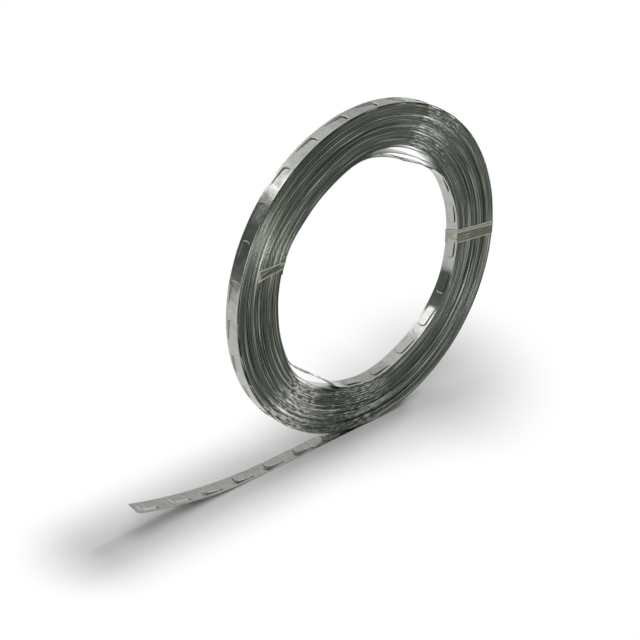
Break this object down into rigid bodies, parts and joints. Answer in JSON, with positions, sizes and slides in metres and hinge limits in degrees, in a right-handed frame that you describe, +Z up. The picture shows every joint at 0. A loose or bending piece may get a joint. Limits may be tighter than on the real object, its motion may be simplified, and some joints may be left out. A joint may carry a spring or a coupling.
{
  "type": "coil of steel fixing band",
  "caption": "Flat coil of narrow galvanised steel fixing band with tongues lanced out of it, tied with clear tape, its free end laid out; for fastening cables.",
  "frame": {"origin": "centre of the coil's bore, midway across the band's width", "axes": "+Y along the axis of the coil, +Z up with the coil standing on its rim, -X along the free end that lies on the floor"},
  "size_m": [0.2984, 0.011, 0.2198],
  "materials": {
    "galvanised_steel": "galvanised, satin",
    "clear_tape": "clear, slightly yellowed, glossy"
  },
  "bodies": {
    "root": {"steel_band": "galvanised_steel", "tape_tie_left": "clear_tape", "tape_tie_right": "clear_tape"}
  },
  "joints": []
}
